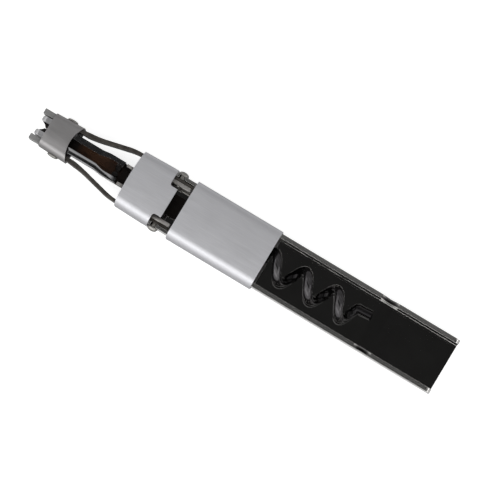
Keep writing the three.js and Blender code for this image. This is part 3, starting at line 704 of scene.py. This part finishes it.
def make_front_ferrule():
    low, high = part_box("front_ferrule")
    mouth_station = (low.x - FERRULE_SPARE, FERRULE_MOUTH_HALF)
    stations = [mouth_station, (FERRULE_TAPER_X, high.y), (high.x, high.y)]
    ferrule = sheet_tube("ferrule", stations, low.z, high.z, SLEEVE_RADIUS, FERRULE_SHEET, SLEEVE_CROWN)
    wide = high.y + MM
    steps = 40
    mouth = []
    for i in range(steps + 1):
        y = -wide + 2 * wide * i / steps
        mouth.append((low.x + FERRULE_BOW * (y / high.y) ** 2, y))
    mouth += [(low.x - MM, wide), (low.x - MM, -wide)]
    cutters = [plan_prism("mouth", mouth, low.z - MM, high.z + MM)]
    for side in (-1, 1):
        inner = NOTCH_INNER_Y[side]
        r = NOTCH_FILLET
        fillet = arc(NOTCH_FRONT_X + r, inner + r, r, 180, 270, 8)
        notch = [(high.x + MM, inner), (high.x + MM, wide), (NOTCH_FRONT_X, wide), *fillet]
        outline = [(x, side * y) for x, y in notch]
        cutters.append(plan_prism("notch", outline, NOTCH_FLOOR_Z, high.z + MM))
    combine(ferrule, "DIFFERENCE", cutters)
    stand_in(soften(ferrule, 0.07 * MM), "front_ferrule")


def make_tip_collar():
    low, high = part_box("tip_collar")
    middle = (high.z + low.z) / 2
    front, rear = COLLAR_FRONT_HALF, COLLAR_REAR_HALF
    steps = 6
    stations = []
    for i in range(steps + 1):
        stations.append((low.x + (high.x - low.x) * i / steps, front + (rear - front) * i / steps))
    collar = sheet_tube("collar", stations, low.z, high.z, COLLAR_RADIUS, COLLAR_SHEET, COLLAR_CROWN)
    scoop = []
    for i in range(33):
        y = -rear + 2 * rear * i / 32
        scoop.append((high.x - COLLAR_SCOOP * (1 - (y / rear) ** 2), y))
    scoop += [(high.x + MM, rear), (high.x + MM, -rear)]
    combine(collar, "DIFFERENCE", [plan_prism("scoop", scoop, middle + MM, high.z + MM)])
    stand_in(soften(collar, 0.06 * MM), "tip_collar")


# ---------- handle ----------
def channel_section(half, bottom, top):
    """(y, z) points round the channel's section, from its -Y outer top edge."""
    inner = FLANGE_INNER_Y
    inner_radius = CHANNEL_INNER_RADIUS
    floor = bottom + CHANNEL_SHEET
    centre = bottom + CHANNEL_RADIUS
    inner_centre = floor + inner_radius
    middle = (centre + top) / 2
    section = [(-half, top), (-half, middle)]
    section += arc(CHANNEL_RADIUS - half, centre, CHANNEL_RADIUS, 180, 270, 12)
    section += [(-half / 3, bottom), (half / 3, bottom)]
    section += arc(half - CHANNEL_RADIUS, centre, CHANNEL_RADIUS, 270, 360, 12)
    section += [(half, middle), (half, top), (inner, top), (inner, middle)]
    section.append((inner, inner_centre + EDGE_LOOP))
    section += arc(inner - inner_radius, inner_centre, inner_radius, 0, -90, 8)
    section += [(inner - EDGE_LOOP, floor), (half / 3, floor)]
    section += [(-half / 3, floor), (EDGE_LOOP - inner, floor)]
    section += arc(inner_radius - inner, inner_centre, inner_radius, -90, -180, 8)
    section += [(-inner, inner_centre + EDGE_LOOP), (-inner, middle), (-inner, top)]
    return section


def channel_stations(front, rear):
    """The x of each ring: close together where the channel widens and along the rib."""
    widen_front, widen_rear = CHANNEL_WIDEN_X
    stations = [front]
    for i in range(9):
        stations.append(widen_front + (widen_rear - widen_front) * i / 8)
    stations += [0.0, 10 * MM, 20 * MM]
    rib_steps = 28
    for i in range(rib_steps + 1):
        stations.append(RIB_X - RIB_REACH + 2 * RIB_REACH * i / rib_steps)
    return [*stations, 38 * MM, rear]


def press(x, y, z, floor, top):
    """Widens the straight channel towards the rear and presses the rib across it."""
    widen_front, widen_rear = CHANNEL_WIDEN_X
    if z < floor - 0.01 * MM or abs(y) > FLANGE_INNER_Y + 0.01 * MM:
        outside = smooth((abs(y) - CHANNEL_WIDEN_Y) / MM)
        behind = smooth((x - widen_front) / (widen_rear - widen_front))
        y += math.copysign(CHANNEL_WIDEN * outside * behind, y)
    rib = 0.5 + 0.5 * math.cos(math.pi * min(1.0, abs(x - RIB_X) / RIB_REACH))
    down = min(1.0, max(0.0, 1 - (z - floor) / RIB_FADE))
    up = smooth((z - floor) / (top - floor))
    pinched = y - math.copysign(RIB_PINCH * rib * up, y)
    return (x, pinched, z + RIB_RISE * rib * down - RIB_DIP * rib * up)


def channel_cutters(half, floor, low, high):
    """Rounds the rear corners, and cuts the slot for the drive pins and the notches for the rivets."""
    r = REAR_CORNER_RADIUS
    corner = arc(high.x - r, high.z - r, r, 90, 0, 12)
    corner += [(high.x + MM, high.z - r), (high.x + MM, high.z + MM), (high.x - r, high.z + MM)]
    pins = [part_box("front_drive_pin"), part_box("rear_drive_pin")]
    slot_half = (pins[0][1].y - pins[0][0].y) / 2 + DRIVE_SLOT_GAP
    slot_front = (pins[0][0].x + pins[0][1].x) / 2
    slot_rear = (pins[1][0].x + pins[1][1].x) / 2 + TRAVEL
    slot = arc(slot_rear, 0, slot_half, -90, 90, 16) + arc(slot_front, 0, slot_half, 90, 270, 16)
    rivet_low, rivet_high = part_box("right_body_rivet")
    x = (rivet_low.x + rivet_high.x) / 2
    z = (rivet_low.z + rivet_high.z) / 2
    notch = arc(x, z, RIVET_NOTCH_RADIUS, 180, 360, 16)
    notch += [(x + RIVET_NOTCH_RADIUS, high.z + MM), (x - RIVET_NOTCH_RADIUS, high.z + MM)]
    return [
        side_prism("corner", corner, -half - MM, half + MM),
        plan_prism("slot", slot, 0, floor + MM),
        side_prism("notch", notch, -half - MM, half + MM),
    ]


def make_channel():
    low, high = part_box("channel_body")
    half = high.y - CHANNEL_WIDEN
    floor = low.z + CHANNEL_SHEET
    section = channel_section(half, low.z, high.z)
    rings = []
    for x in channel_stations(low.x, high.x):
        rings.append([press(x, y, z, floor, high.z) for y, z in section])
    channel = loft("channel", rings)
    combine(channel, "DIFFERENCE", channel_cutters(half, floor, low, high))
    stand_in(soften(channel, 0.09 * MM, 4), "channel_body")


# ---------- arms, backing plates, feet ----------
def catmull_rom(points, per_span):
    """A smooth curve through points."""
    padded = [points[0], *points, points[-1]]
    curve = []
    for a, b, c, d in zip(padded, padded[1:], padded[2:], padded[3:]):
        for i in range(per_span):
            t = i / per_span
            curve.append(
                tuple(
                    0.5
                    * (
                        2 * b[k]
                        + (c[k] - a[k]) * t
                        + (2 * a[k] - 5 * b[k] + 4 * c[k] - d[k]) * t * t
                        + (3 * b[k] - a[k] - 3 * c[k] + d[k]) * t**3
                    )
                    for k in range(3)
                )
            )
    return [*curve, points[-1]]


def strip_outline(curve):
    """The outline of a strip along a curve of (x, y, thickness) points."""
    near, far = [], []
    for i, (x, y, thickness) in enumerate(curve):
        before = curve[max(0, i - 1)]
        after = curve[min(len(curve) - 1, i + 1)]
        along = Vector((after[0] - before[0], after[1] - before[1])).normalized()
        near.append((x + along.y * thickness / 2, y - along.x * thickness / 2))
        far.append((x - along.y * thickness / 2, y + along.x * thickness / 2))
    return near + far[::-1]


def make_arms():
    low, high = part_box("right_arm")
    middle = [tuple(value * MM for value in row) for row in ARM_ROWS]
    arm = plan_prism("arm", strip_outline(catmull_rom(middle, 6)), low.z, high.z)
    stand_in_pair(soften(arm, 0.1 * MM), "arm")


def make_backing_plates():
    low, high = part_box("right_backing_plate")
    r = BACKING_RADIUS
    outline = arc(high.x - r, high.z - r, r, 0, 90, 8)
    outline += arc(low.x + r, high.z - r, r, 90, 180, 8)
    outline += [(low.x, low.z), (high.x, low.z)]
    plate = side_prism("plate", outline, low.y, high.y)
    stand_in_pair(soften(plate, 0.12 * MM), "backing_plate")


def make_foot_pads():
    low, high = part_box("right_foot_pad")
    pad = block("pad", low, high)
    arm_low, arm_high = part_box("right_arm")
    gap = FOOT_POCKET_GAP
    pocket_low = (arm_low.x - gap, TOE_Y - ARM_SHEET / 2 - gap, arm_low.z - gap)
    pocket_high = (high.x + MM, TOE_Y + ARM_SHEET / 2 + gap, arm_high.z + gap)
    combine(pad, "DIFFERENCE", [block("pocket", pocket_low, pocket_high)])
    stand_in_pair(soften(pad, 0.1 * MM, 4), "foot_pad")


# ---------- jaws ----------
def jaw_edge(start, end, start_y, end_y, steps=12):
    """Points of one side of the jaw along its step, eased at both ends."""
    points = []
    for i in range(steps + 1):
        t = i / steps
        points.append((start + (end - start) * t, start_y + (end_y - start_y) * smooth(t)))
    return points


def make_jaws():
    low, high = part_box("right_jaw")
    r = JAW_TIP_CORNER
    front, rear = JAW_FRONT, JAW_REAR
    step_front, step_rear = JAW_STEP
    outline = [(high.x, rear[1]), (high.x, rear[0])]
    outline += jaw_edge(step_rear, step_front, rear[0], front[0])
    outline += arc(low.x + r, front[0] - r, r, 90, 180, 8)
    outline += arc(low.x + r, front[1] + r, r, 180, 270, 8)
    outline += jaw_edge(step_front, step_rear, front[1], rear[1])
    jaw = plan_prism("jaw", outline, low.z, high.z)
    pin_low, pin_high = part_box("right_pivot_pin")
    x = (pin_low.x + pin_high.x) / 2
    y = (pin_low.y + pin_high.y) / 2
    middle = (rear[0] + rear[1]) / 2
    lug = arc(x, y, LUG_RADIUS, 180, 360, 20)
    lug += [(x + LUG_RADIUS, middle), (x - LUG_RADIUS, middle)]
    hole = circle(x, y, PIVOT_HOLE_RADIUS, 24)
    combine(jaw, "UNION", [plan_prism("lug", lug, low.z, low.z + LUG_HEIGHT)])
    combine(jaw, "DIFFERENCE", [plan_prism("hole", hole, low.z - MM, high.z + MM)])
    # The tip is rounded off seen from the side too.
    r = JAW_TIP_RADIUS
    nose = arc(low.x + r, high.z - r, r, 90, 180, 12)
    nose += [(low.x - MM, high.z - r), (low.x - MM, high.z + MM), (low.x + r, high.z + MM)]
    combine(jaw, "DIFFERENCE", [side_prism("nose", nose, -high.y - MM, high.y + MM)])
    stand_in_pair(soften(jaw, 0.14 * MM), "jaw")


def make_claws():
    low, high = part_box("right_claw")
    tip_y = high.y - CLAW_TIP_WIDTH
    outline = [(low.x, high.y), (low.x, tip_y)]
    steps = 8
    for i in range(1, steps + 1):
        t = i / steps
        bow = CLAW_BOW * math.sin(math.pi * t)
        outline.append((low.x + CLAW_NOSE * t + bow, tip_y + (low.y - tip_y) * t + bow / 2))
    outline += [(high.x, low.y), (high.x, high.y)]
    claw = plan_prism("claw", outline, low.z, high.z)
    stand_in_pair(soften(claw, 0.05 * MM), "claw")


# ---------- rivets ----------
def revolve_y(name, profile, x, z, segments=40):
    """A turned piece about a line along Y, from (radius, y) pairs that start and end off the axis."""
    rings = []
    for radius, y in profile:
        rings.append(
            [
                (
                    x + radius * math.cos(2 * math.pi * i / segments),
                    y,
                    z + radius * math.sin(2 * math.pi * i / segments),
                )
                for i in range(segments)
            ]
        )
    return loft(name, rings)


def make_rivets(node, head_height, shank_radius, tail_radius):
    """Domed rivets with a slightly flattened crown and a fine ring where the set tool stopped."""
    low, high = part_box(f"right_{node}")
    x = (low.x + high.x) / 2
    z = (low.z + high.z) / 2
    head = (high.x - low.x) / 2
    seat = high.y - head_height
    brim = RIVET_BRIM
    inner = low.y
    edge = RIVET_EDGE
    profile = [(tail_radius * 0.3, inner), (tail_radius - edge, inner), (tail_radius, inner + edge)]
    tail = inner + RIVET_TAIL
    profile += [(tail_radius, tail), (shank_radius, tail), (shank_radius, seat)]
    profile += [(head - edge, seat), (head, seat + edge), (head, seat + brim)]
    steps = 14
    for i in range(1, steps):
        angle = math.pi / 2 * i / steps
        groove = RIVET_RING * math.exp(-(((i - 3) / 0.8) ** 2))
        rise = (head_height - brim) * math.sin(angle) ** 0.9
        profile.append((head * math.cos(angle) - groove, seat + brim + rise))
    profile.append((head * 0.04, seat + head_height))
    rivet = revolve_y("rivet", profile, x, z)
    shade_smooth(rivet, 50)
    stand_in_pair(rivet, node)


# ---------- spring ----------
def coil_x(turn):
    """How far along the tool the wire is at this turn, counted from the crest."""
    open_front_x = COIL_CREST_X + COIL_OPEN_FRONT * COIL_PITCH
    open_rear_x = COIL_CREST_X + COIL_OPEN_REAR * COIL_PITCH
    if turn < COIL_OPEN_FRONT:
        return open_front_x + (turn - COIL_OPEN_FRONT) * COIL_CLOSED_PITCH
    if turn < COIL_OPEN_REAR:
        return COIL_CREST_X + turn * COIL_PITCH
    return open_rear_x + (turn - COIL_OPEN_REAR) * COIL_LAST_PITCH


def spring_path(radius, centre_z, end_x):
    """The middle of the wire: the coils, then a straight leg that sinks to the channel's floor."""
    open_front_x = COIL_CREST_X + COIL_OPEN_FRONT * COIL_PITCH
    start_turn = COIL_OPEN_FRONT - (open_front_x - COIL_START_X) / COIL_CLOSED_PITCH
    count = round((COIL_REAR_TURN - start_turn) * COIL_STEPS)
    path = []
    for i in range(count + 1):
        turn = start_turn + (COIL_REAR_TURN - start_turn) * i / count
        x = sum(coil_x(turn + shift) for shift in PITCH_EASE) / len(PITCH_EASE)
        angle = 2 * math.pi * turn
        path.append(Vector((x, -radius * math.sin(angle), centre_z + radius * math.cos(angle))))
    foot = path[-1]
    drop = centre_z - radius - foot.z
    leg = [path[-4], foot]
    for share, sunk in LEG_RUN:
        x = foot.x + (end_x - foot.x) * share
        leg.append(Vector((x, foot.y + LEG_SIDESTEP * share, foot.z + drop * sunk)))
    curve = catmull_rom([tuple(point) for point in leg], LEG_STEPS)
    return path + [Vector(point) for point in curve[LEG_STEPS + 1 :]]


def make_spring():
    low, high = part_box("return_spring")
    radius = (high.z - low.z - WIRE) / 2
    centre_z = (high.z + low.z) / 2
    path = spring_path(radius, centre_z, high.x)
    last = len(path) - 1
    rings = []
    for i, point in enumerate(path):
        along = (path[min(last, i + 1)] - path[max(0, i - 1)]).normalized()
        outward = Vector((0, point.y, point.z - centre_z)).normalized()
        across = along.cross(outward).normalized()
        outward = across.cross(along)
        ring = []
        for k in range(WIRE_SIDES):
            angle = 2 * math.pi * k / WIRE_SIDES
            ring.append(point + WIRE / 2 * (math.cos(angle) * outward + math.sin(angle) * across))
        rings.append(ring)
    spring = loft("spring", rings)
    soften(spring, 0.08 * MM, 2, 60)
    stand_in(spring, "return_spring")
    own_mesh(spring)


# ---------- jaw carrier ----------
def make_jaw_carrier():
    low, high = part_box("jaw_carrier")
    top = low.z + CARRIER_SHEET
    half = high.y
    r = TONGUE_CORNER
    widen_x = TONGUE_REAR_X
    outline = arc(low.x + r, TONGUE_HALF - r, r, 90, 180, 6)
    outline += arc(low.x + r, r - TONGUE_HALF, r, 180, 270, 6)
    outline += [(widen_x, -TONGUE_HALF), (widen_x, -half), (high.x, -half)]
    outline += [(high.x, half), (widen_x, half), (widen_x, TONGUE_HALF)]
    carrier = plan_prism("carrier", outline, low.z, top)
    front, rear = CARRIER_FLANGE_X
    flanges = []
    for side in (-1, 1):
        y0, y1 = sorted((side * (half - CARRIER_FLANGE), side * half))
        flanges.append(block("flange", (front, y0, low.z), (rear, y1, high.z)))
    combine(carrier, "UNION", flanges)
    stand_in(soften(carrier, 0.1 * MM), "jaw_carrier")


make_channel()
make_slide_sleeve()
make_front_ferrule()
make_tip_collar()
make_arms()
make_backing_plates()
make_foot_pads()
make_jaws()
make_claws()
make_rivets("body_rivet", head_height=0.8 * MM, shank_radius=0.5 * MM, tail_radius=0.8 * MM)
make_rivets("collar_rivet", head_height=0.45 * MM, shank_radius=0.45 * MM, tail_radius=0.6 * MM)
make_spring()
make_jaw_carrier()


# ---------- studio ----------
def make_world():
    """A soft tent, bright towards -Y and dimmer towards +Y, with a dark strip overhead."""
    world = bpy.data.worlds.new("studio")
    world.use_nodes = True
    SCENE.world = world
    tree = world.node_tree
    nodes = tree.nodes
    background = nodes["Background"]
    direction = nodes.new("ShaderNodeTexCoord").outputs["Generated"]

    def ramp(value, stops, interpolation="LINEAR"):
        node = nodes.new("ShaderNodeValToRGB")
        node.color_ramp.interpolation = interpolation
        elements = node.color_ramp.elements
        while len(elements) < len(stops):
            elements.new(0.5)
        for element, (position, level) in zip(elements, stops):
            element.position = position
            element.color = (level, level, level, 1.0)
        tree.links.new(value, node.inputs["Fac"])
        return node.outputs["Color"]

    axes = nodes.new("ShaderNodeSeparateXYZ")
    tree.links.new(direction, axes.inputs["Vector"])
    half = nodes.new("ShaderNodeMapRange")
    half.inputs["From Min"].default_value = -1
    tree.links.new(axes.outputs["Y"], half.inputs["Value"])
    sides = ramp(half.outputs["Result"], SIDE_LEVELS, "EASE")
    flatten = nodes.new("ShaderNodeMapping")
    flatten.inputs["Scale"].default_value = (OVERHEAD_STRETCH, 1.0, 0.0)
    tree.links.new(direction, flatten.inputs["Vector"])
    reach = nodes.new("ShaderNodeVectorMath")
    reach.operation = "LENGTH"
    tree.links.new(flatten.outputs["Vector"], reach.inputs[0])
    overhead = ramp(reach.outputs["Value"], OVERHEAD_LEVELS)
    light = nodes.new("ShaderNodeMix")
    light.data_type = "RGBA"
    light.blend_type = "MULTIPLY"
    light.inputs["Factor"].default_value = 1.0
    tree.links.new(sides, light.inputs["A"])
    tree.links.new(overhead, light.inputs["B"])
    tree.links.new(light.outputs["Result"], background.inputs["Color"])
    background.inputs["Strength"].default_value = WORLD_STRENGTH


def make_softbox(name, azimuth_deg, elevation_deg, distance, width, height, radiance):
    """A rectangular light that faces the origin."""
    azimuth = math.radians(azimuth_deg)
    elevation = math.radians(elevation_deg)
    right, up, back = view_axes(azimuth, elevation)
    data = bpy.data.lights.new(name, "AREA")
    data.shape = "RECTANGLE"
    data.size = width
    data.size_y = height
    data.energy = radiance * math.pi * width * height
    light = bpy.data.objects.new(name, data)
    SCENE.collection.objects.link(light)
    place(light, distance * back, right, up, back)


def make_floor():
    """A pale floor that glows to the camera, so that shadows on it are faint, and far less in metal."""
    bpy.ops.mesh.primitive_plane_add(size=FLOOR_SIZE, location=(0, 0, 0))
    floor = bpy.context.object
    floor.name = "floor"
    m = Nodes("floor_finish", (0.6, 0.6, 0.6), 0.0, 0.9)
    speckle = m.noise(900, (1, 1, 1), 3.0, 0.5)
    m.colour(m.mix(m.remap(speckle, 0.3, 0.7, 0, 1), (0.595, 0.595, 0.595), (0.61, 0.61, 0.61)))
    m.set("Specular IOR Level", 0.0)
    m.set("Emission Color", (1.0, 1.0, 1.0, 1.0))
    rays = m.new("ShaderNodeLightPath")
    glow = m.remap(rays.outputs["Is Camera Ray"], 0, 1, FLOOR_GLOW_IN_METAL, FLOOR_GLOW)
    m.link(glow, m.shader.inputs["Emission Strength"])
    floor.data.materials.append(m.material)


make_camera()
make_world()
make_floor()
for softbox in SOFTBOXES:
    make_softbox(*softbox)
SCENE.view_settings.view_transform = "Standard"
